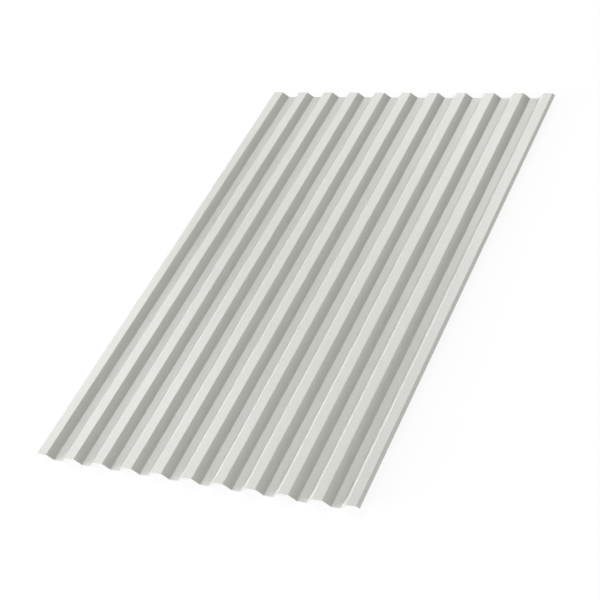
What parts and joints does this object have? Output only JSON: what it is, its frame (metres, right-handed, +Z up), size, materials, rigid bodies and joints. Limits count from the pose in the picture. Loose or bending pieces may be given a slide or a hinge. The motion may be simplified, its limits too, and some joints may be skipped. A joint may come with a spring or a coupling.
{
  "type": "corrugated metal sheet",
  "caption": "Trapezoidal ribbed steel sheet, colour-coated pale grey, with eleven flat-topped ribs along its length and a short turned-down lip along each long edge.",
  "frame": {"origin": "under the middle of the sheet's width and length, level with the undersides of its valleys, on the surface that it lies on", "axes": "+Y along the ribs, +X across them towards the narrower outer rib that the next sheet covers, +Z up out of the face that the rib crests stand on"},
  "size_m": [1.0476, 1.66, 0.021],
  "materials": {
    "coated_steel": "satin"
  },
  "bodies": {
    "root": {"profiled_sheet": "coated_steel"}
  },
  "joints": []
}
